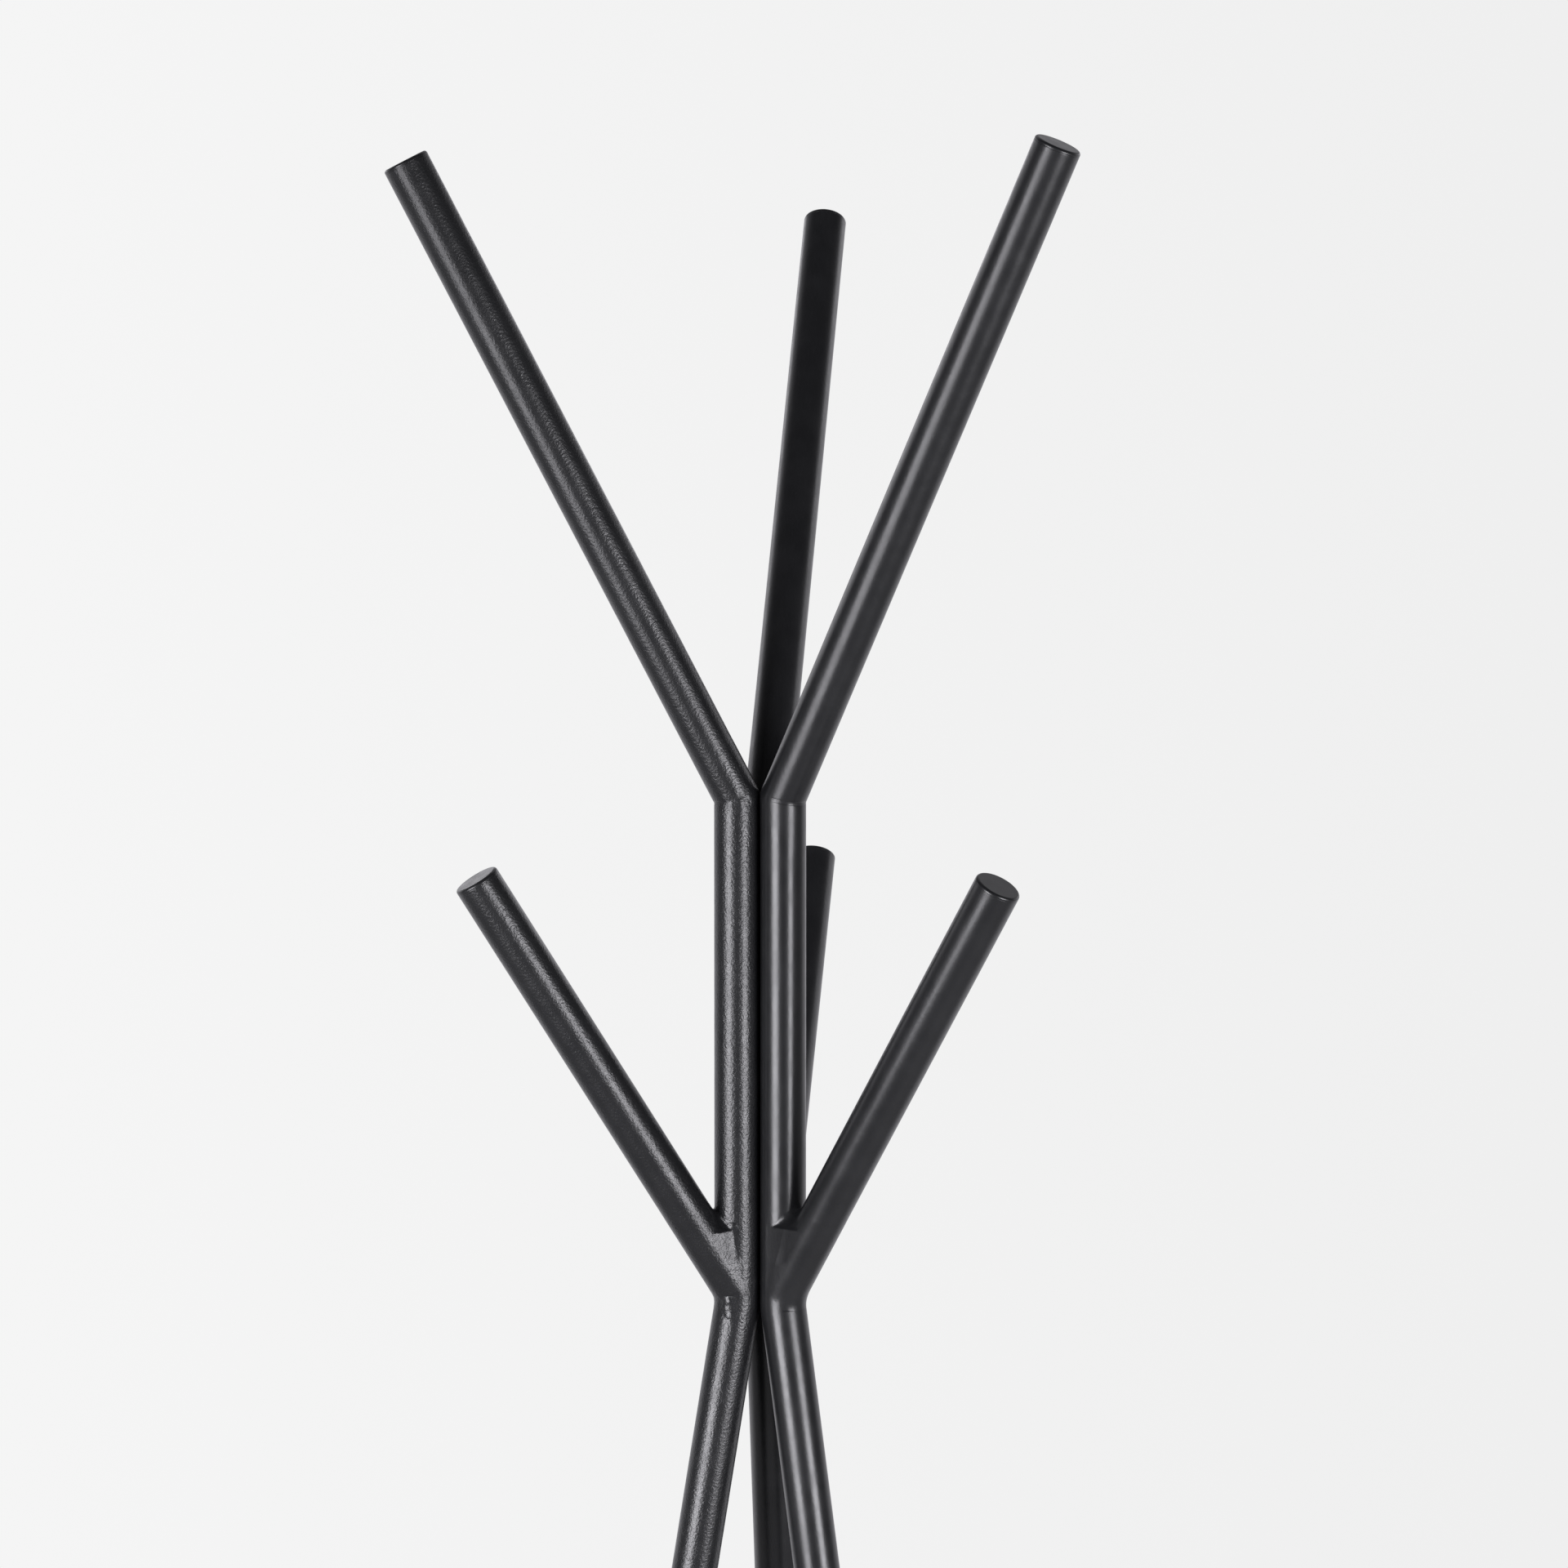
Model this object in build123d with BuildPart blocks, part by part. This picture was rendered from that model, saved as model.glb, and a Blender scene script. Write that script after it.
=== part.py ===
from build123d import *
import os
from math import cos, radians, sin, sqrt, tan

# A floor-standing coat rack of round steel tube. Three equal stems stand side by side,
# 120 degrees apart round the +Z axis. Each stem is a splayed leg, an upright post and an
# upper arm, cut to a mitre and butt welded at two corners, with a lower arm coped onto
# the outside of the post just above the lower corner.
# Origin: the floor, on the rack's vertical axis. Millimetres and degrees.

# Driving dimensions
overall_height = 1750.0
tube_diameter = 25.4
tube_wall = 1.5
stem_azimuths = {"left": 210, "right": 330, "back": 90}

post_length = 283.0  # between the two corners, along the tube's centre line
post_gap = 0.7  # between neighbouring posts, which their coating takes up
leg_splay = 9.7  # from the vertical
upper_arm_length = 390.0  # from the upper corner to the face of the cap
upper_arm_lean = 28.6  # from the vertical
lower_arm_length = 277.0  # from the post's centre line to the face of the cap
lower_arm_lean = 32.6  # from the vertical
lower_arm_rise = 7.6  # its centre line leaves the post's this far above the lower corner

cap_thickness = 2.0
cap_edge_radius = 1.6
cap_spigot_length = 5.0
cap_spigot_clearance = 0.05  # on the radius

glide_pad_height = 5.0
glide_pad_edge = 1.0  # chamfer
glide_plug_length = 20.0  # from the middle of the pad
glide_plug_clearance = 0.1  # on the radius

butt_weld_width = 2.0
cope_gap = 0.4  # between the lower arm's coped end and the post, filled by the bead
arm_bead_size = 2.0

stitches_per_seam = 3
stitch_length = 22.0
stitch_inset = 45.0  # from each corner to the middle of the nearest stitch
stitch_bead_radius = 3.0
stitch_bead_depth = 5.2  # from the line between two post centres out to the bead's centre

# Sizes that follow
tube_radius = tube_diameter / 2
bore_radius = tube_radius - tube_wall
post_offset = (tube_diameter + post_gap) / sqrt(3)
upper_arm_rise = upper_arm_length * cos(radians(upper_arm_lean))
upper_cap_overhang = tube_radius * sin(radians(upper_arm_lean))
upper_corner_height = overall_height - upper_arm_rise - upper_cap_overhang
lower_corner_height = upper_corner_height - post_length
foot_offset = post_offset + lower_corner_height * tan(radians(leg_splay))
mitre_allowance = 2 * tube_diameter  # extra length on a tube before it is mitred

os.makedirs("parts", exist_ok=True)


def save(piece, node):
    piece.label = node
    export_step(piece, f"parts/{node}.step")


def stem_plane(azimuth):
    """The upright plane of one stem: local x points outwards and local y points up."""
    turn = radians(azimuth)
    outwards = (cos(turn), sin(turn), 0)
    sideways = (sin(turn), -cos(turn), 0)
    return Plane(origin=(0, 0, 0), x_dir=outwards, z_dir=sideways)


def plane_across(stem, offset, height, lean):
    """A plane square to a line that leans outwards by lean as it rises through a point."""
    origin = stem.from_local_coords(Vector(offset, height, 0))
    ahead = Vector(offset + sin(radians(lean)), height + cos(radians(lean)), 0)
    return Plane(
        origin=origin,
        x_dir=stem.z_dir,
        z_dir=stem.from_local_coords(ahead) - origin,
    )


def tube_section():
    Circle(tube_radius)
    Circle(bore_radius, mode=Mode.SUBTRACT)


def make_cut_tube(axis, start, length, low_cut, high_cut):
    """A tube along an axis plane's z, trimmed to what lies between two cutting planes."""
    with BuildPart() as tube:
        with BuildSketch(axis.offset(start)):
            tube_section()
        extrude(amount=length)
        split(bisect_by=low_cut, keep=Keep.TOP)
        split(bisect_by=high_cut, keep=Keep.BOTTOM)
    return tube.part


def make_butt_weld(axis_below, mitre, axis_above):
    """The ring of weld in a mitred corner, ground flush with both tubes."""
    half = butt_weld_width / 2
    stub = 2 * mitre_allowance
    with BuildPart() as weld:
        add(make_cut_tube(axis_below, -mitre_allowance, stub, mitre.offset(-half), mitre))
        add(make_cut_tube(axis_above, -mitre_allowance, stub, mitre, mitre.offset(half)))
    return weld.part


def make_cap(tip):
    """A flat disc on a tube's end, with a spigot down the bore; tip is its outer face."""
    with BuildPart() as cap:
        with BuildSketch(tip):
            Circle(tube_radius)
        extrude(amount=-cap_thickness)
        outer_face = cap.faces().sort_by(Axis(tip.origin, tip.z_dir))[-1]
        fillet(outer_face.edges(), radius=cap_edge_radius)
        with BuildSketch(tip.offset(-cap_thickness)):
            Circle(bore_radius - cap_spigot_clearance)
        extrude(amount=-cap_spigot_length)
    return cap.part


for side, azimuth in stem_azimuths.items():
    stem = stem_plane(azimuth)
    leg_axis = plane_across(stem, post_offset, lower_corner_height, -leg_splay)
    post_axis = plane_across(stem, post_offset, lower_corner_height, 0)
    post_top_axis = plane_across(stem, post_offset, upper_corner_height, 0)
    upper_arm_axis = plane_across(stem, post_offset, upper_corner_height, upper_arm_lean)
    lower_mitre = plane_across(stem, post_offset, lower_corner_height, -leg_splay / 2)
    upper_mitre = plane_across(stem, post_offset, upper_corner_height, upper_arm_lean / 2)
    lower_arm_root = lower_corner_height + lower_arm_rise
    lower_arm_axis = plane_across(stem, post_offset, lower_arm_root, lower_arm_lean)

    leg = make_cut_tube(
        leg_axis,
        start=-lower_corner_height - 2 * mitre_allowance,
        length=lower_corner_height + 3 * mitre_allowance,
        low_cut=Plane.XY.offset(glide_pad_height),
        high_cut=lower_mitre.offset(-butt_weld_width / 2),
    )
    save(leg, f"leg_{side}")

    post = make_cut_tube(
        post_axis,
        start=-mitre_allowance,
        length=post_length + 2 * mitre_allowance,
        low_cut=lower_mitre.offset(butt_weld_width / 2),
        high_cut=upper_mitre.offset(-butt_weld_width / 2),
    )
    save(post, f"post_{side}")

    upper_arm = make_cut_tube(
        upper_arm_axis,
        start=-mitre_allowance,
        length=mitre_allowance + upper_arm_length,
        low_cut=upper_mitre.offset(butt_weld_width / 2),
        high_cut=upper_arm_axis.offset(upper_arm_length - cap_thickness),
    )
    save(upper_arm, f"upper_arm_{side}")

    # The cope is a little wider than the post, so that the bead has a root to fill.
    with BuildPart() as lower_arm:
        with BuildSketch(lower_arm_axis):
            tube_section()
        extrude(amount=lower_arm_length - cap_thickness)
        with BuildSketch(post_axis.offset(-mitre_allowance)):
            Circle(tube_radius + cope_gap)
        extrude(amount=3 * mitre_allowance, mode=Mode.SUBTRACT)
    save(lower_arm.part, f"lower_arm_{side}")

    save(make_butt_weld(leg_axis, lower_mitre, post_axis), f"lower_weld_{side}")
    save(make_butt_weld(post_top_axis, upper_mitre, upper_arm_axis), f"upper_weld_{side}")

    # The bead round the cope lies against the post and against the arm, outside and root.
    with BuildPart() as arm_bead:
        with BuildSketch(lower_arm_axis):
            Circle(tube_radius + arm_bead_size)
            Circle(bore_radius, mode=Mode.SUBTRACT)
        extrude(amount=2 * mitre_allowance)
        with BuildSketch(post_axis.offset(-mitre_allowance)):
            Circle(tube_radius + arm_bead_size)
        extrude(amount=3 * mitre_allowance, mode=Mode.INTERSECT)
        with BuildSketch(post_axis.offset(-mitre_allowance)):
            Circle(tube_radius)
        extrude(amount=3 * mitre_allowance, mode=Mode.SUBTRACT)
        with BuildSketch(leg_axis.offset(mitre_allowance)):
            Circle(tube_radius)
        extrude(amount=-2 * mitre_allowance, mode=Mode.SUBTRACT)
        add(lower_arm.part, mode=Mode.SUBTRACT)
    save(arm_bead.part, f"arm_weld_{side}")

    save(make_cap(upper_arm_axis.offset(upper_arm_length)), f"upper_cap_{side}")
    save(make_cap(lower_arm_axis.offset(lower_arm_length)), f"lower_cap_{side}")

    # The glide's pad carries on the leg's outline to the floor, and its plug fills the bore.
    foot = plane_across(stem, foot_offset, 0, -leg_splay)
    plug_start = plane_across(
        stem,
        foot_offset - glide_pad_height / 2 * tan(radians(leg_splay)),
        glide_pad_height / 2,
        -leg_splay,
    )
    with BuildPart() as glide:
        with BuildSketch(foot.offset(-tube_diameter)):
            Circle(tube_radius)
        extrude(amount=2 * tube_diameter)
        split(bisect_by=Plane.XY, keep=Keep.TOP)
        split(bisect_by=Plane.XY.offset(glide_pad_height), keep=Keep.BOTTOM)
        chamfer(glide.edges().group_by(Axis.Z)[0], length=glide_pad_edge)
        with BuildSketch(plug_start):
            Circle(bore_radius - glide_plug_clearance)
        extrude(amount=glide_plug_length)
    save(glide.part, f"foot_glide_{side}")


# Stitch welds join the back post to each front post, in the two valleys behind the rack.
stitch_pitch = (post_length - 2 * stitch_inset) / (stitches_per_seam - 1)
with BuildPart() as seam_welds:
    for stitch in range(stitches_per_seam):
        middle = lower_corner_height + stitch_inset + stitch * stitch_pitch
        with BuildSketch(Plane.XY.offset(middle - stitch_length / 2)):
            with PolarLocations(
                post_offset / 2 + stitch_bead_depth,
                count=2,
                start_angle=stem_azimuths["back"] - 60,
                angular_range=120,
                endpoint=True,
            ):
                Circle(stitch_bead_radius)
            with PolarLocations(post_offset, count=3, start_angle=stem_azimuths["back"]):
                Circle(tube_radius, mode=Mode.SUBTRACT)
        extrude(amount=stitch_length)
save(seam_welds.part, "seam_welds")
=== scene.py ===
import math

import bpy
import numpy as np
from mathutils import Matrix, Vector


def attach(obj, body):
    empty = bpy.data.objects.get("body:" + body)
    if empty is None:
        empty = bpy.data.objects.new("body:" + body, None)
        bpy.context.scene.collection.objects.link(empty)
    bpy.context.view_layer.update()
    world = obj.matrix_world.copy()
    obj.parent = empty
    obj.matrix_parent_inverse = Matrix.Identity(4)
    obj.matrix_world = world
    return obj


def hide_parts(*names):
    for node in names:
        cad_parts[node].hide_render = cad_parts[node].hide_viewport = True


# A floor-standing coat rack of black powder-coated steel tube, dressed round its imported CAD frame.
# Metres, in the CAD frame: +Z up, the floor at z = 0, the back stem over +Y. Tubes, caps, glides and
# stitch welds are rebuilt as finer meshes on lines read from the CAD nodes. Each welded corner is a skin
# over the tubes' ends, made from a distance field in millimetres round the corner.

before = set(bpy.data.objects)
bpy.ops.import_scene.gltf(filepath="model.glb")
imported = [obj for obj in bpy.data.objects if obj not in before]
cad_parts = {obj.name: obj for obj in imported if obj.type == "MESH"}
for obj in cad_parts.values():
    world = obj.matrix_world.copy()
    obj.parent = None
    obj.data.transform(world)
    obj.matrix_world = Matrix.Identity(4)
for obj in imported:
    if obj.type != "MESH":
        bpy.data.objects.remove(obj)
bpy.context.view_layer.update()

MM = 0.001
SIDES = ("left", "right", "back")
UP = np.array([0.0, 0.0, 1.0])
SEGMENTS = 96  # round a tube

WALL = 1.5  # millimetres, as the lengths below
CAP_THICKNESS = 2.0
CAP_EDGE = 1.6
SPIGOT_LENGTH = 5.0
PAD_HEIGHT = 5.0
PLUG_LENGTH = 20.0


# ---------------------------------------------------------------- reading the frame


def unit(vector):
    return vector / np.linalg.norm(vector)


def node_points(node):
    return np.array([v.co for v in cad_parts[node].data.vertices])


def square_axes(along):
    """Two unit vectors square to a direction, the first one level."""
    first = np.cross(UP, along)
    if np.linalg.norm(first) < 1e-4:
        first = np.array([1.0, 0.0, 0.0])
    first = unit(first - (first @ along) * along)
    return first, np.cross(along, first)


def wall_direction(normals, areas):
    """The upward direction that a wall's normals are all square to."""
    values, vectors = np.linalg.eigh((normals * areas[:, None]).T @ normals)
    return vectors[:, 0] * np.sign(vectors[2, 0])


def tube_line(node):
    """The centre line of a CAD tube as (point, upward direction, radius)."""
    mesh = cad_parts[node].data
    normals = np.array([p.normal for p in mesh.polygons])
    centres = np.array([p.center for p in mesh.polygons])
    areas = np.array([p.area for p in mesh.polygons])
    along = wall_direction(normals, areas)
    on_wall = np.abs(normals @ along) < 0.05
    along = wall_direction(normals[on_wall], areas[on_wall])
    middle = node_points(node).mean(0)
    outwards = ((centres - middle) * normals).sum(1) > 0
    corners = sorted({v for p in np.flatnonzero(on_wall & outwards) for v in mesh.polygons[p].vertices})
    points = node_points(node)[corners]
    first, second = square_axes(along)
    flat = np.stack([(points - middle) @ first, (points - middle) @ second], 1)
    terms = np.column_stack([2 * flat, np.ones(len(flat))])
    x, y, rest = np.linalg.lstsq(terms, (flat**2).sum(1), rcond=None)[0]
    return middle + x * first + y * second, along, math.sqrt(rest + x * x + y * y)


def meeting_point(one, other):
    """The point on one line that is nearest to the other line."""
    gap = other[0] - one[0]
    lean = one[1] @ other[1]
    step = (gap @ one[1] - lean * (gap @ other[1])) / (1 - lean * lean)
    return one[0] + step * one[1]


class Stem:
    """The lines and corners of one stem, read from its CAD nodes."""

    def __init__(self, side):
        self.side = side
        self.leg = tube_line(f"leg_{side}")
        self.post = tube_line(f"post_{side}")
        self.upper_arm = tube_line(f"upper_arm_{side}")
        self.lower_arm = tube_line(f"lower_arm_{side}")
        self.radius = self.post[2]
        self.lower_corner = meeting_point(self.post, self.leg)
        self.upper_corner = meeting_point(self.post, self.upper_arm)
        self.arm_root = meeting_point(self.post, self.lower_arm)
        self.outwards = unit(self.post[0] * (1, 1, 0))
        self.sideways = np.cross(UP, self.outwards)

    def local(self, direction):
        """A direction as (outwards, sideways, up)."""
        return np.array([direction @ self.outwards, direction @ self.sideways, direction @ UP])


stems = {side: Stem(side) for side in SIDES}


# ---------------------------------------------------------------- pieces


def make_piece(name, points, faces, material, nodes):
    """A smooth-shaded mesh that rides on the rack and stands for CAD nodes."""
    mesh = bpy.data.meshes.new(name)
    mesh.from_pydata([tuple(p) for p in points], [], [tuple(int(i) for i in f) for f in faces])
    mesh.validate()
    mesh.polygons.foreach_set("use_smooth", [True] * len(mesh.polygons))
    mesh.materials.append(material)
    piece = bpy.data.objects.new(name, mesh)
    bpy.context.scene.collection.objects.link(piece)
    if nodes:
        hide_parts(*nodes)
        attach(piece, "root")
    return piece


def join_rings(rings, closed=False):
    """Points and quads of a skin over rings of equal count; closed joins the last ring to the first."""
    count = len(rings[0])
    here = np.arange(count)
    ahead = np.roll(here, -1)
    faces = []
    for low in range(len(rings) if closed else len(rings) - 1):
        high = (low + 1) % len(rings)
        quads = [low * count + here, low * count + ahead, high * count + ahead, high * count + here]
        faces.extend(np.stack(quads, 1).tolist())
    return np.concatenate(rings), faces


def close_ends(points, faces, count):
    """Fills the first and last ring round a middle point each."""
    total = len(points)
    last = total - count
    middles = [points[:count].mean(0), points[last:].mean(0)]
    for i in range(count):
        following = (i + 1) % count
        faces.append([total, following, i])
        faces.append([total + 1, last + i, last + following])
    return np.vstack([points, middles]), faces


def spokes(along):
    """Unit vectors square to a direction, one for each segment, anticlockwise about it."""
    first, second = square_axes(along)
    turns = np.linspace(0, 2 * math.pi, SEGMENTS, endpoint=False)[:, None]
    return np.cos(turns) * first + np.sin(turns) * second


def plane_cut(point, normal, along):
    """How far along a line each wall point lies from a plane."""
    return lambda base: ((point - base) @ normal) / (along @ normal)


def cope_cut(line, radius, along):
    """How far along a line each wall point leaves a cylinder round another line."""

    def cut(base):
        across = along - (along @ line[1]) * line[1]
        start = base - line[0]
        start = start - (start @ line[1])[:, None] * line[1]
        half = start @ across
        square = across @ across
        inside = half**2 - square * ((start**2).sum(1) - radius**2)
        return (-half + np.sqrt(np.clip(inside, 0, None))) / square

    return cut


def make_tube(name, line, low_cut, high_cut, material):
    """A hollow tube with softened rims, its ends following two cuts."""
    along = line[1]
    radius, bore, edge = line[2], line[2] - WALL * MM, 0.06 * MM
    around = spokes(along)

    def ring(size, share, inset):
        base = line[0] + size * around
        low = low_cut(base) + inset
        high = high_cut(base) - inset
        return base + (low + share * (high - low))[:, None] * along

    shares = np.concatenate([[0, 0.001, 0.003], np.linspace(0.02, 0.98, 25), [0.997, 0.999, 1]])
    rings = [ring(radius, share, edge) for share in shares]
    rings += [ring(radius - edge, 1, 0), ring(bore, 1, 0)]
    rings += [ring(bore, share, edge) for share in shares[-2:0:-4]]
    rings += [ring(bore, 0, 0), ring(radius - edge, 0, 0)]
    points, faces = join_rings(rings, closed=True)
    return make_piece(name, points, faces, material, [name])


def make_lathe(name, centre, along, profile, material):
    """A turned solid: the profile's (radius, height) run from one end's middle to the other's."""
    around = spokes(along)
    rings = [centre + MM * (radius * around + height * along) for radius, height in profile]
    points, faces = close_ends(*join_rings(rings), SEGMENTS)
    return make_piece(name, points, faces, material, [name])


def rounded(radius, height, size, start, stop, steps=8):
    """Points of a fillet round (radius, height), between two angles in degrees."""
    turns = np.radians(np.linspace(start, stop, steps + 1))
    return [(radius + size * math.cos(t), height + size * math.sin(t)) for t in turns]


def make_cap(name, tip, along, radius, material):
    """A disc with a rounded rim and a spigot down the bore; tip is the middle of its outer face."""
    outer = radius / MM
    spigot = outer - WALL - 0.05
    end = -CAP_THICKNESS - SPIGOT_LENGTH
    profile = [(0.5, end), (spigot - 0.6, end), (spigot, end + 0.6), (spigot, -CAP_THICKNESS)]
    profile += [(outer - 0.10, -CAP_THICKNESS), (outer - 0.02, -CAP_THICKNESS + 0.01)]
    profile += [(outer, -CAP_THICKNESS + 0.04), (outer, -CAP_THICKNESS + 0.12)]
    profile += rounded(outer - CAP_EDGE, -CAP_EDGE, CAP_EDGE, 0, 90, 12)
    profile += [(outer - CAP_EDGE - 0.15, 0), (outer * 0.8, 0), (outer * 0.4, 0), (0.5, 0)]
    return make_lathe(name, tip, along, profile, material)


def make_glide(name, leg, material):
    """A push-in glide: a pad that carries on the leg's outline, and a ribbed plug up its bore."""
    along, outer = leg[1], leg[2] / MM
    lean = unit(along - (along @ UP) * UP)
    level = [lean / (along @ UP), np.cross(UP, lean)]
    turns = np.linspace(0, 2 * math.pi, SEGMENTS, endpoint=False)[:, None]
    oval = np.cos(turns) * level[0] + np.sin(turns) * level[1]
    recess = 0.62 * outer

    def level_ring(radius, height):
        centre = leg[0] + ((height * MM - leg[0][2]) / along[2]) * along
        return centre + MM * radius * oval

    pad = [(0.5, 0.8), (recess - 0.8, 0.8), (recess, 0.0), (recess + 0.3, 0.0), (outer - 1.2, 0.0)]
    pad += rounded(outer - 1.0, 1.0, 1.0, -90, 0)
    pad += [(outer, PAD_HEIGHT - 0.7), (outer - 0.3, PAD_HEIGHT - 0.35), (outer - 0.3, PAD_HEIGHT - 0.01)]
    plug = outer - WALL - 0.1
    rings = [level_ring(radius, height) for radius, height in pad]
    round_ring = np.cos(turns) * np.cross(level[1], along) + np.sin(turns) * level[1]
    foot = leg[0] + ((PAD_HEIGHT / 2 * MM - leg[0][2]) / along[2]) * along
    heights = np.arange(PAD_HEIGHT + 2.0, PLUG_LENGTH, 1.0)
    for height in heights:
        size = plug - 0.6 * (round(height) % 3 == 1)
        rings.append(foot + MM * (size * round_ring + height * along))
    for size in (plug - 1.5, 0.5):
        rings.append(foot + MM * (size * round_ring + PLUG_LENGTH * along))
    points, faces = close_ends(*join_rings(rings), SEGMENTS)
    return make_piece(name, points, faces, material, [name])


# ---------------------------------------------------------------- weld skins


def line_distance(points, start, along):
    offset = points - start
    return np.linalg.norm(offset - (offset @ along)[:, None] * along, axis=1)


def radial(points, start, along):
    """Unit vectors that point straight away from a line."""
    offset = points - start
    offset = offset - (offset @ along)[:, None] * along
    return offset / np.maximum(np.linalg.norm(offset, axis=1), 1e-6)[:, None]


def smooth_union(one, other, width, alike=0.0):
    """The nearer of two distances, with a fillet. alike is their slopes' cosine, so flush joints stay flat."""
    width = width * np.clip(4 * (1 - alike), 0.02, 1)
    near = np.clip(width - np.abs(one - other), 0, None) / width
    return np.minimum(one, other) - near * near * width / 4


def lumps(points, size, seed, waves=16):
    """Smooth seeded noise about size across, mostly between -1 and 1."""
    random = np.random.default_rng(seed)
    directions = random.normal(size=(waves, 3))
    directions *= 2 * math.pi / size / np.linalg.norm(directions, axis=1)[:, None]
    phases = random.uniform(0, 2 * math.pi, waves)
    return np.sin(points @ directions.T + phases).sum(1) * math.sqrt(1.0 / waves)


def elbow(points, below, above, radius, softness):
    """Distance to two tubes that meet in a mitre at the origin; softness rounds the ridge."""
    lower = line_distance(points, 0, below) - radius
    upper = line_distance(points, 0, above) - radius
    height = points @ unit(below + above)
    share = height / np.sqrt(height**2 + softness**2)
    return (lower + upper) / 2 + (upper - lower) / 2 * share, height


def feather(steps, reach):
    """Keeps a skin just proud of its tube, and sinks it just under near the skin's end."""
    share = np.clip((steps - reach + FEATHER) / FEATHER, 0, 1)
    return (PROUD + SUNK) * share * share * (3 - 2 * share) - PROUD


def surface_net(distance, low, high, step):
    """Points and quads of the closed surface where a distance function is zero."""
    counts = np.ceil((high - low) / step).astype(int) + 1
    ticks = [low[i] + step * np.arange(counts[i]) for i in range(3)]
    grid = np.stack(np.meshgrid(*ticks, indexing="ij"), -1)
    values = distance(grid.reshape(-1, 3)).reshape(counts)
    inside = values < 0
    corners = [(i, j, k) for i in (0, 1) for j in (0, 1) for k in (0, 1)]
    cells = counts - 1
    boxes = [tuple(slice(start, start + n) for start, n in zip(c, cells)) for c in corners]
    full = sum(inside[box].astype(int) for box in boxes)
    active = np.argwhere((full > 0) & (full < 8))
    index = np.full(cells, -1)
    index[tuple(active.T)] = np.arange(len(active))
    total = np.zeros((len(active), 3))
    hits = np.zeros(len(active))
    for a in corners:
        for axis in range(3):
            if a[axis]:
                continue
            b = np.array(a)
            b[axis] = 1
            start = values[tuple((active + a).T)]
            stop = values[tuple((active + b).T)]
            crossed = (start < 0) != (stop < 0)
            share = np.where(crossed, start / np.where(crossed, start - stop, 1), 0)
            place = np.array(a) + share[:, None] * (b - np.array(a))
            total += place * crossed[:, None]
            hits += crossed
    points = low + step * (active + total / hits[:, None])
    quads = []
    for axis in range(3):
        one, two = (axis + 1) % 3, (axis + 2) % 3
        here = [slice(0, n) for n in counts]
        there = list(here)
        here[axis], there[axis] = slice(0, -1), slice(1, None)
        edges = np.argwhere(inside[tuple(here)] != inside[tuple(there)])
        rising = inside[tuple(here)][tuple(edges.T)]
        back_one, back_two = np.eye(3, dtype=int)[one], np.eye(3, dtype=int)[two]
        around = [edges, edges - back_one, edges - back_one - back_two, edges - back_two]
        quad = np.stack([index[tuple(cell.T)] for cell in around], 1)
        quad[~rising] = quad[~rising][:, ::-1]
        quads.append(quad)
    return settle(points, distance), np.concatenate(quads)


def settle(points, distance, rounds=3, gap=0.02):
    """Moves points onto the zero surface of a distance function."""
    for _ in range(rounds):
        slopes = np.stack(
            [(distance(points + gap * e) - distance(points - gap * e)) / (2 * gap) for e in np.eye(3)], 1
        )
        steep = np.clip((slopes**2).sum(1), 0.3, None)
        step = np.clip(distance(points) / steep, -0.5, 0.5)
        points = points - step[:, None] * slopes
    return points


def make_skin(name, stem, corner, distance, low, high, material, nodes, step=0.7):
    points, faces = surface_net(distance, np.array(low, float), np.array(high, float), step)
    turn = np.stack([stem.outwards, stem.sideways, UP])
    return make_piece(name, corner + MM * points @ turn, faces, material, nodes)


# How each stem's corners were welded and dressed, in millimetres from the corner. web is the fillet's width,
# bends the roundness of the upper and lower corner, fall how steeply the ground flat beside the lower arm's
# foot drops towards the post, top how high that flat reaches, edge the softness of its rim, and lumps the
# height of the unevenness along the seams.
WELDS = {
    "left": dict(web=3.2, bends=(2.2, 3.5), fall=0.108, top=42.0, edge=1.4, lumps=0.13, seed=11),
    "right": dict(web=6.0, bends=(3.0, 4.5), fall=0.012, top=45.5, edge=4.0, lumps=0.02, seed=23),
    "back": dict(web=4.0, bends=(2.5, 3.0), fall=0.05, top=43.0, edge=2.0, lumps=0.06, seed=37),
}
# Dabs of weld left standing: (turn anticlockwise from outwards, height, width, rise) round the post's line.
DABS = {
    "left": [(48, 3.6, 3.0, 1.0), (44, -0.4, 3.0, 0.9), (51, -4.0, 3.0, 0.9), (58, 45.5, 2.2, 0.6)],
    "right": [(-50, 46.0, 1.6, 0.3), (-40, 46.6, 1.6, 0.3), (-29, 46.2, 1.5, 0.3)],
    "back": [(62, 44.0, 2.0, 0.4), (-60, 45.0, 2.2, 0.4)],
}
UPPER_REACH = 38.0  # how far the skins run along the tubes from their corner
LOWER_REACH = 44.0
ARM_REACH = 66.0  # from the arm's root
FEATHER = 12.0  # the last stretch of a skin, where it sinks into its tube
PROUD = 0.04  # how far a skin stands off its tube
SUNK = 0.1  # and how far it has sunk at its end


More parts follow.
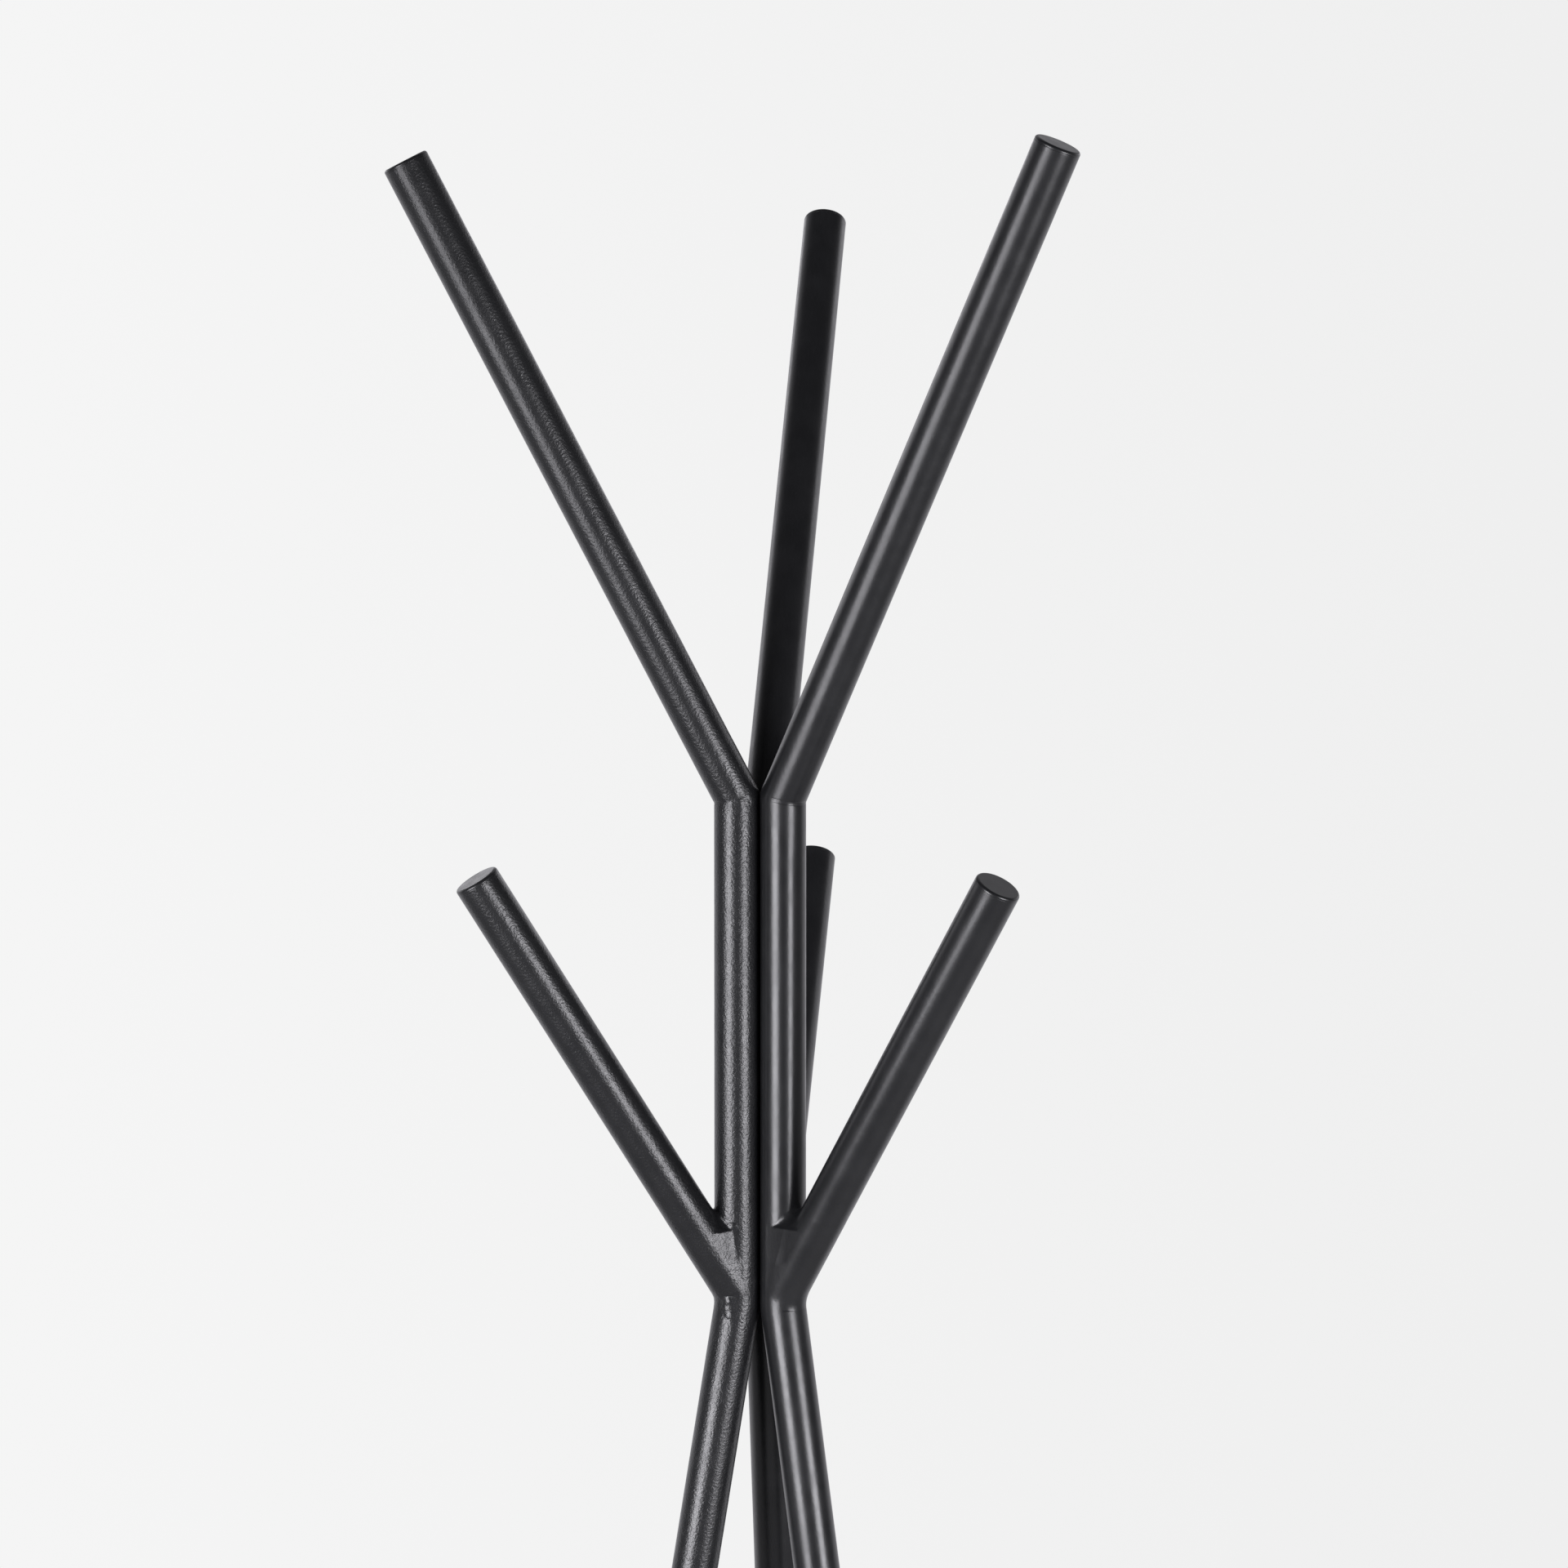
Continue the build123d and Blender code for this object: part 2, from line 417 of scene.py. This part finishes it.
def make_upper_skin(stem, material):
    """The mitred corner of post and upper arm, dressed nearly flush."""
    radius, weld = stem.radius / MM, WELDS[stem.side]
    arm = stem.local(stem.upper_arm[1])

    def distance(points):
        skin, height = elbow(points, UP, arm, radius, weld["bends"][0])
        steps = np.maximum(-(points @ UP), points @ arm)
        near = np.exp(-((height / 5.0) ** 2))
        skin = skin - near * weld["lumps"] * lumps(points, 6.0, weld["seed"])
        return np.maximum(skin + feather(steps, UPPER_REACH), steps - UPPER_REACH)

    side = radius + 2
    low = (-side, -side, -UPPER_REACH - 2)
    top = UPPER_REACH * arm + (radius + 2, 0, radius)
    high = (top[0], side, top[2])
    name = f"upper_weld_{stem.side}"
    return make_skin(name, stem, stem.upper_corner, distance, low, high, material, [name])


def web_fill(points, radius, root, arm, weld):
    """Distance to the weld in the side of the crotch: flush with the arm, falling away towards the post."""
    beyond = (points - root) @ np.array([arm[2], 0, -arm[0]])
    depth = radius - np.abs(points[:, 1])
    face = -depth - weld["fall"] * beyond
    top = (points[:, 2] - weld["top"] - 0.9 * np.clip(depth, 0, 6)) * 0.74
    ends = np.maximum(top, root[2] - points[:, 2])
    return np.maximum(np.maximum(face, ends), np.maximum(-points[:, 0], beyond))


def dab_distance(points, radius, dab):
    """Distance to one low round dab of weld on the post's line."""
    turn, height, width, rise = dab
    angle = math.radians(turn)
    ball = (width**2 + rise**2) / (2 * rise)
    out = radius + rise - ball
    centre = np.array([out * math.cos(angle), out * math.sin(angle), height])
    return np.linalg.norm(points - centre, axis=1) - ball


def make_lower_skin(stem, material):
    """The corner of leg and post with the lower arm's foot, its ground web and the dabs left standing."""
    radius, weld = stem.radius / MM, WELDS[stem.side]
    leg, arm = stem.local(stem.leg[1]), stem.local(stem.lower_arm[1])
    root = np.array([0, 0, (stem.arm_root - stem.lower_corner)[2] / MM])

    def distance(points):
        tube, _ = elbow(points, leg, UP, radius, weld["bends"][1])
        out = (points - root) @ arm
        branch = np.maximum(line_distance(points, root, arm) - radius, -out)
        steps = np.maximum(-(points @ leg), points[:, 2] - 18)
        post_side, arm_side = radial(points, 0, UP), radial(points, root, arm)
        skin = smooth_union(tube, branch, weld["web"], (post_side * arm_side).sum(1))
        nearer = np.where(tube < branch, post_side[:, 1], arm_side[:, 1])
        skin = smooth_union(skin, web_fill(points, radius, root, arm, weld), weld["edge"], np.abs(nearer))
        for dab in DABS[stem.side]:
            skin = smooth_union(skin, dab_distance(points, radius, dab), 0.8)
        near = np.exp(-(np.abs(tube) + np.abs(branch)) / 4)
        uneven = lumps(points, 8.0, weld["seed"]) + 0.3 * lumps(points, 3.0, weld["seed"] + 1)
        skin = skin - near * weld["lumps"] * uneven
        sunk = feather(np.where(branch < tube, out - 22, steps), LOWER_REACH)
        ends = np.maximum(np.maximum(-(points @ leg), points[:, 2] - 22) - LOWER_REACH, out - ARM_REACH)
        return np.maximum(skin + sunk, ends)

    side = radius + 2.5
    tip = ARM_REACH * arm + root
    low = (-side, -side, -LOWER_REACH - 4)
    high = (tip[0] + radius + 2, side, max(tip[2] + radius, LOWER_REACH + 24))
    name = f"lower_weld_{stem.side}"
    nodes = [name, f"arm_weld_{stem.side}"]
    return make_skin(name, stem, stem.lower_corner, distance, low, high, material, nodes)


# ---------------------------------------------------------------- materials


class Graph:
    """A short way to build a node tree."""

    def __init__(self, tree):
        self.tree = tree
        self.tree.nodes.clear()

    def add(self, kind, settings=None, **inputs):
        node = self.tree.nodes.new("ShaderNode" + kind)
        for name, value in (settings or {}).items():
            setattr(node, name, value)
        for name, value in inputs.items():
            self.feed(node, name.replace("_", " "), value)
        return node

    def feed(self, node, name, value):
        socket = node.inputs[int(name[1:])] if name[0] == "i" and name[1:].isdigit() else node.inputs[name]
        if isinstance(value, bpy.types.NodeSocket):
            self.tree.links.new(value, socket)
        else:
            socket.default_value = value

    def math(self, operation, one, other=0.0, clamp=False):
        node = self.add("Math", {"operation": operation, "use_clamp": clamp}, i0=one, i1=other)
        return node.outputs[0]

    def span(self, value, low, high, to_low, to_high, kind="SMOOTHSTEP"):
        """Maps a value from one span to another, without going past it."""
        node = self.add(
            "MapRange",
            {"interpolation_type": kind},
            Value=value,
            From_Min=low,
            From_Max=high,
            To_Min=to_low,
            To_Max=to_high,
        )
        return node.outputs[0]

    def noise(self, place, size, detail=2.0, roughness=0.5):
        node = self.add("TexNoise", Vector=place, Scale=1 / (size * MM), Detail=detail, Roughness=roughness)
        return node.outputs["Fac"]

    def mix(self, share, one, other):
        node = self.add("Mix", {"data_type": "RGBA"}, i0=share, i6=one, i7=other)
        return node.outputs[2]


def surface(name):
    material = bpy.data.materials.new(name)
    material.use_nodes = True
    graph = Graph(material.node_tree)
    return material, graph


def powder_coat(name, peel, shift, roughness=0.31, waves=1.7):
    """Satin black powder coat. peel is the height of its orange peel, in microns, and waves its width."""
    material, graph = surface(name)
    place = graph.add("TexCoord").outputs["Object"]
    place = graph.add("Mapping", Vector=place, Location=(shift, 2 * shift, -shift)).outputs[0]
    tone = graph.span(graph.noise(place, 22, 3), 0.35, 0.7, 0, 1)
    colour = graph.mix(tone, (0.0080, 0.0083, 0.0092, 1), (0.0110, 0.0113, 0.0123, 1))
    specks = graph.span(graph.noise(place, 0.9, 1), 0.68, 0.74, 0, 0.35)
    colour = graph.mix(specks, colour, (0.026, 0.026, 0.028, 1))
    gloss = graph.span(graph.noise(place, 9, 3), 0.3, 0.7, roughness - 0.025, roughness + 0.03)
    coarse = graph.noise(place, waves, 1.5)
    fine = graph.noise(place, waves * 0.36, 1)
    dots = graph.add("TexVoronoi", Vector=place, Scale=1 / (26 * MM))
    nib = graph.span(dots.outputs["Distance"], 0.0, 0.022, 1, 0)
    draw = graph.add("SeparateColor", Color=dots.outputs["Color"]).outputs[0]
    chosen = graph.math("GREATER_THAN", draw, 0.72)
    height = graph.math("ADD", coarse, graph.math("MULTIPLY", fine, 0.22))
    height = graph.math("ADD", height, graph.math("MULTIPLY", graph.math("MULTIPLY", nib, chosen), 2.0))
    bump = graph.add("Bump", Strength=1.0, Distance=peel * 1e-6, Height=height)
    shader = graph.add(
        "BsdfPrincipled", Base_Color=colour, Roughness=gloss, IOR=1.5, Normal=bump.outputs[0]
    )
    output = graph.add("OutputMaterial")
    graph.feed(output, "Surface", shader.outputs[0])
    return material


def glide_plastic():
    """Moulded black plastic with a fine matt grain and scuffs underneath."""
    material, graph = surface("glide_plastic")
    place = graph.add("TexCoord").outputs["Object"]
    height = graph.add("SeparateXYZ", Vector=place).outputs["Z"]
    low = graph.span(height, 0.0, 0.0012, 1, 0)
    wear = graph.math("MULTIPLY", low, graph.span(graph.noise(place, 3, 4), 0.42, 0.62, 0, 1))
    colour = graph.mix(wear, (0.020, 0.020, 0.021, 1), (0.075, 0.073, 0.070, 1))
    gloss = graph.span(graph.noise(place, 2.5, 3), 0.3, 0.7, 0.46, 0.6)
    grain = graph.noise(place, 0.35, 2)
    bump = graph.add("Bump", Strength=1.0, Distance=3e-5, Height=grain)
    shader = graph.add(
        "BsdfPrincipled", Base_Color=colour, Roughness=gloss, IOR=1.47, Normal=bump.outputs[0]
    )
    output = graph.add("OutputMaterial")
    graph.feed(output, "Surface", shader.outputs[0])
    return material


COATS = {
    "left": powder_coat("coat_left", peel=185, shift=0.13, waves=1.3),
    "right": powder_coat("coat_right", peel=40, shift=0.71, waves=2.4),
    "back": powder_coat("coat_back", peel=60, shift=1.37, waves=2.2),
}
CAP_COAT = powder_coat("cap_coat", peel=22, shift=2.1, roughness=0.30)
WELD_COATS = {
    "left": powder_coat("weld_coat_left", peel=210, shift=0.13, waves=1.3),
    "right": powder_coat("weld_coat_right", peel=55, shift=0.71, waves=2.4),
    "back": powder_coat("weld_coat_back", peel=75, shift=1.37, waves=2.2),
}
PLASTIC = glide_plastic()


# ---------------------------------------------------------------- the rack


def make_stitch_welds(material):
    """The stitches that hold the back post to the front ones: beads with a ripple for each dab of weld."""
    points = node_points("seam_welds")
    groups = {}
    for point in points:
        groups.setdefault(point[0] > 0, []).append(point)
    rings_done, faces_done, total = [], [], 0
    for right in (False, True):
        group = np.array(groups[right])
        heights = np.unique(np.round(group[:, 2], 4))
        seam = group[:, :2].mean(0)
        outwards = unit(np.array([*seam, 0.0]))
        depth = group @ outwards
        middle = seam_middle(stems["right" if right else "left"], stems["back"])
        for low, high in zip(heights[0::2], heights[1::2]):
            made = stitch_rings(middle, outwards, depth.max(), low, high)
            points_made, faces = close_ends(*join_rings(made), len(made[0]))
            faces_done += [[i + total for i in face] for face in faces]
            rings_done.append(points_made)
            total += len(points_made)
    return make_piece("seam_welds", np.vstack(rings_done), faces_done, material, ["seam_welds"])


def seam_middle(one, other):
    """The point on the floor under the line where two posts all but touch."""
    return (one.post[0] + other.post[0]) / 2 * (1, 1, 0)


def stitch_rings(middle, outwards, reach, low, high):
    """Rings of one stitch, from its lower end to its upper end."""
    across = np.cross(UP, outwards)
    dabs = 7
    turns = np.linspace(0, 2 * math.pi, 48, endpoint=False)
    start = middle @ outwards
    size = 3.2 * MM
    rings = []
    for step in np.linspace(0, 1, 57):
        wave = abs(math.sin(math.pi * dabs * step)) ** 0.6
        end = min(1.0, math.sqrt(max(0.0, 1 - (2 * step - 1) ** 12)) + 0.02)
        swell = (0.90 + 0.10 * wave) * end
        centre = middle + outwards * (reach - start - size)
        lag = 0.7 * MM * wave
        ring = [
            centre
            + swell * size * (math.cos(t) * outwards + 1.12 * math.sin(t) * across)
            + UP * (low + step * (high - low) - lag * math.cos(t) * end * (0 < step < 1))
            for t in turns
        ]
        rings.append(np.array(ring))
    return rings


def dress(stem):
    side, radius = stem.side, stem.radius
    coat, weld_coat = COATS[side], WELD_COATS[side]
    half_weld = 1.0 * MM
    lower = unit(stem.leg[1] + stem.post[1])
    upper = unit(stem.post[1] + stem.upper_arm[1])
    make_tube(
        f"leg_{side}",
        stem.leg,
        plane_cut(UP * PAD_HEIGHT * MM, UP, stem.leg[1]),
        plane_cut(stem.lower_corner - half_weld * lower, lower, stem.leg[1]),
        coat,
    )
    make_tube(
        f"post_{side}",
        stem.post,
        plane_cut(stem.lower_corner + half_weld * lower, lower, stem.post[1]),
        plane_cut(stem.upper_corner - half_weld * upper, upper, stem.post[1]),
        coat,
    )
    for level, line, corner in (
        ("upper", stem.upper_arm, stem.upper_corner),
        ("lower", stem.lower_arm, stem.arm_root),
    ):
        cap = f"{level}_cap_{side}"
        tip = corner + ((node_points(cap) - corner) @ line[1]).max() * line[1]
        if level == "upper":
            low_cut = plane_cut(corner + half_weld * upper, upper, line[1])
        else:
            low_cut = cope_cut(stem.post, radius + 0.4 * MM, line[1])
        high_cut = plane_cut(tip - CAP_THICKNESS * MM * line[1], line[1], line[1])
        make_tube(f"{level}_arm_{side}", line, low_cut, high_cut, coat)
        make_cap(cap, tip, line[1], line[2], CAP_COAT)
    make_glide(f"foot_glide_{side}", stem.leg, PLASTIC)
    make_upper_skin(stem, weld_coat)
    make_lower_skin(stem, weld_coat)


for each in stems.values():
    dress(each)
make_stitch_welds(WELD_COATS["back"])


# ---------------------------------------------------------------- camera, light and floor

AXIS = stems["left"].lower_corner * (0, 0, 1)  # on the rack's axis, level with the lower corners
HEADING = math.radians(10.6)  # the camera looks this far to the left of +Y
AHEAD = np.array([-math.sin(HEADING), math.cos(HEADING), 0])
RIGHT = np.array([math.cos(HEADING), math.sin(HEADING), 0])


COOL = (1.0, 0.99, 1.04)  # the colour of the studio light


PITCH = math.radians(-2.30)  # the camera looks slightly down
YAW = math.radians(0.038)  # and is turned this much to the right
LENS = 80.8  # on a 36 mm sensor
DISTANCE, ASIDE, ABOVE = 1.9548, 0.0106, 0.3686  # metres from AXIS: back, to the right and up


def add_camera():
    pitch, yaw = PITCH, YAW
    place = AXIS - DISTANCE * AHEAD + ASIDE * RIGHT + ABOVE * UP
    level = math.cos(yaw) * AHEAD + math.sin(yaw) * RIGHT
    across = math.cos(yaw) * RIGHT - math.sin(yaw) * AHEAD
    forward = math.cos(pitch) * level + math.sin(pitch) * UP
    data = bpy.data.cameras.new("camera")
    data.lens = LENS
    data.sensor_width = 36
    data.clip_start = 0.05
    camera = bpy.data.objects.new("camera", data)
    turn = Matrix([across, np.cross(across, forward), -forward]).transposed()
    camera.matrix_world = Matrix.Translation(Vector(place)) @ turn.to_4x4()
    bpy.context.scene.collection.objects.link(camera)
    bpy.context.scene.camera = camera


# Each softbox: (turn from the camera's side in degrees, distance, width, lower edge, upper edge, radiance).
SOFTBOXES = {
    "key_left_low": (-39, 1.2, 0.60, 0.81, 1.00, 8.8),
    "key_left_high": (-39, 1.2, 0.60, 1.00, 1.42, 5.2),
    "fill_right": (41, 2.0, 0.85, 0.84, 1.35, 17.2),
    "fill_right_low": (41, 2.0, 0.85, 0.50, 0.84, 4.2),
    "fill_right_high": (41, 2.0, 0.85, 1.35, 1.62, 1.4),
}


def add_softbox(name, turn, distance, width, low, high, radiance):
    """An upright softbox, turned from the camera's side, facing the rack; low and high are heights."""
    angle = math.radians(turn)
    away = -math.cos(angle) * AHEAD + math.sin(angle) * RIGHT
    data = bpy.data.lights.new(name, "AREA")
    data.shape = "RECTANGLE"
    data.size, data.size_y = width, high - low
    data.color = COOL
    data.energy = radiance * math.pi * width * (high - low)
    light = bpy.data.objects.new(name, data)
    light.location = Vector(distance * away + UP * (low + high) / 2)
    light.rotation_mode = "QUATERNION"
    light.rotation_quaternion = Vector(away).to_track_quat("Z", "Y")
    light.visible_camera = False
    bpy.context.scene.collection.objects.link(light)


BANK_TURN = math.radians(42)  # a far bank of light, to the left of the camera
BANK_HALF = math.radians(14)  # half its width
BANK_SOFT = math.radians(1)  # the softness of its sides
BANK_LIGHT = 11.2
BACKDROP = (0.923, 0.853)  # how pale the backdrop looks, at its left and right


def add_world():
    """A pale wall behind the rack and a grey room in front. Only the camera sees the backdrop."""
    world = bpy.data.worlds.new("studio")
    world.use_nodes = True
    bpy.context.scene.world = world
    graph = Graph(world.node_tree)
    towards = graph.add("TexCoord").outputs["Generated"]
    rise = graph.add("SeparateXYZ", Vector=towards).outputs["Z"]

    def part(direction):
        dot = graph.add("VectorMath", {"operation": "DOT_PRODUCT"}, i0=towards, i1=tuple(direction))
        return dot.outputs["Value"]

    wall = graph.span(rise, 0.16, 0.22, 0.9, 1.8)  # brighter in a band, which the cap faces reflect
    wall = graph.math("ADD", wall, graph.span(rise, 0.26, 0.36, 0, -1.35))
    room = graph.span(rise, -0.22, -0.10, 0.34, 0.16)
    room = graph.math("ADD", room, graph.span(rise, 0.3, 0.6, 0, -0.10))
    behind = graph.span(part(AHEAD), 0.15, 0.5, 0, 1)
    lit = graph.math("ADD", room, graph.math("MULTIPLY", behind, graph.math("SUBTRACT", wall, room)))
    turn = graph.math("ARCTAN2", part(RIGHT), part(-AHEAD))
    beside = graph.math("ABSOLUTE", graph.math("ADD", turn, BANK_TURN))
    bank = graph.span(beside, BANK_HALF - BANK_SOFT, BANK_HALF + BANK_SOFT, 1, 0)
    bank = graph.math("MULTIPLY", bank, graph.span(rise, -0.163, -0.143, 0, 1))
    bank = graph.math("MULTIPLY", bank, graph.span(rise, 0.14, 0.17, 1, 0))
    lit = graph.math("ADD", lit, graph.math("MULTIPLY", bank, BANK_LIGHT))
    seen = graph.span(part(RIGHT), -0.3, 0.3, *BACKDROP, "LINEAR")
    eye = graph.add("LightPath").outputs["Is Camera Ray"]
    level = graph.math("ADD", lit, graph.math("MULTIPLY", eye, graph.math("SUBTRACT", seen, lit)))
    tint = graph.mix(eye, (*COOL, 1), (1, 1, 1, 1))
    background = graph.add("Background", Color=tint, Strength=level)
    output = graph.add("OutputWorld")
    graph.feed(output, "Surface", background.outputs[0])


FLOOR_GLOW = 0.40  # seen by the camera only, so that the floor looks as pale as the backdrop
FLOOR_FADE = (0.5, 1.7)  # metres from the axis


def add_floor():
    """A plain pale floor that fades into the studio."""
    radii = np.concatenate([np.linspace(0.02, 0.5, 12), np.linspace(0.6, 3.0, 25)])
    turns = np.linspace(0, 2 * math.pi, SEGMENTS, endpoint=False)
    circle = np.stack([np.cos(turns), np.sin(turns), 0 * turns], 1)
    points, faces = join_rings([radius * circle for radius in radii])
    faces = [face[::-1] for face in faces]  # every face looks up, as the middle fan does
    points = np.vstack([points, [0, 0, 0]])
    faces += [[len(points) - 1, i, (i + 1) % SEGMENTS] for i in range(SEGMENTS)]
    material, graph = surface("floor")
    place = graph.add("TexCoord").outputs["Object"]
    far = graph.add("VectorMath", {"operation": "LENGTH"}, i0=place).outputs["Value"]
    tone = graph.span(graph.noise(place, 400, 3), 0.3, 0.7, 0, 1)
    colour = graph.mix(tone, (0.64, 0.635, 0.63, 1), (0.67, 0.665, 0.66, 1))
    glow = graph.math("MULTIPLY", graph.add("LightPath").outputs["Is Camera Ray"], FLOOR_GLOW)
    matt = graph.add("BsdfPrincipled", Base_Color=colour, Roughness=0.7, Emission_Color=colour)
    graph.feed(matt, "Emission Strength", glow)
    clear = graph.add("BsdfTransparent")
    fade = graph.span(far, *FLOOR_FADE, 0, 1)
    blend = graph.add("MixShader", Fac=fade, i1=matt.outputs[0], i2=clear.outputs[0])
    output = graph.add("OutputMaterial")
    graph.feed(output, "Surface", blend.outputs[0])
    floor = make_piece("floor", points, faces, material, [])


add_camera()
for box_name, box in SOFTBOXES.items():
    add_softbox(box_name, *box)
add_world()
add_floor()
bpy.context.scene.view_settings.view_transform = "Standard"
